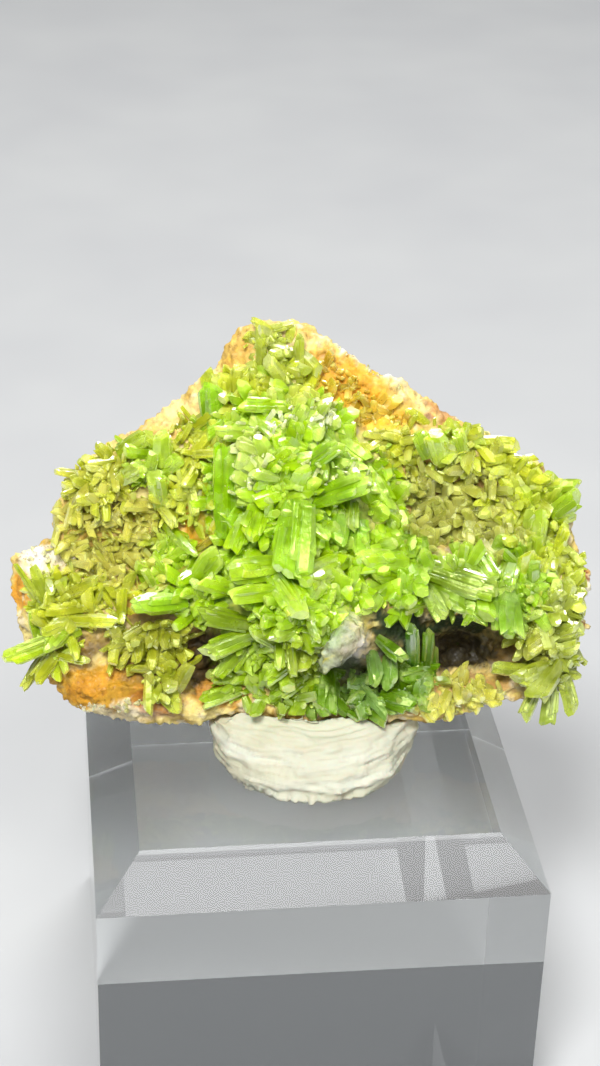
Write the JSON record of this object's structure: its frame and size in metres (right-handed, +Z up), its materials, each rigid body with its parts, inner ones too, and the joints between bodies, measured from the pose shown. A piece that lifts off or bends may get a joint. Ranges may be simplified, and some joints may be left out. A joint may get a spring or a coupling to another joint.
{
  "type": "pyromorphite specimen on display block",
  "caption": "Cluster of green pyromorphite crystals on a stained quartz plate, leaning back in putty on a clear chamfered display block.",
  "frame": {"origin": "middle of the clear block's underside, on the surface that the block stands on", "axes": "+Z up, +X to the right and +Y away from the viewer who faces the crystals; the block's sides lie along X and Y"},
  "size_m": [0.0535, 0.04, 0.0686],
  "materials": {
    "clear_acrylic": "polished clear, with fine scratches",
    "putty": "matt, finger pressed",
    "stained_quartz": "sugary quartz, iron stained",
    "vivid_pyromorphite": "resinous, translucent",
    "yellow_pyromorphite": "resinous, translucent",
    "pale_pyromorphite": "resinous, translucent",
    "dark_pyromorphite": "resinous, translucent"
  },
  "bodies": {
    "root": {"acrylic_block": "clear_acrylic", "mounting_putty": "putty", "matrix_rock": "stained_quartz", "central_green_crystals": "vivid_pyromorphite", "crest_crystals": "yellow_pyromorphite", "lower_fan_crystals": "vivid_pyromorphite", "cavity_crystals": "dark_pyromorphite", "lower_lip_crystals": "pale_pyromorphite", "left_green_barrels": "vivid_pyromorphite", "left_rim_crystals": "yellow_pyromorphite", "left_basin_druse": "pale_pyromorphite", "lower_left_crystals": "yellow_pyromorphite", "left_corner_spray": "yellow_pyromorphite", "upper_right_crystals": "yellow_pyromorphite", "right_rim_crystals": "yellow_pyromorphite", "right_basin_druse": "pale_pyromorphite", "right_ledge_crystals": "vivid_pyromorphite", "lower_right_crystals": "yellow_pyromorphite"}
  },
  "joints": []
}
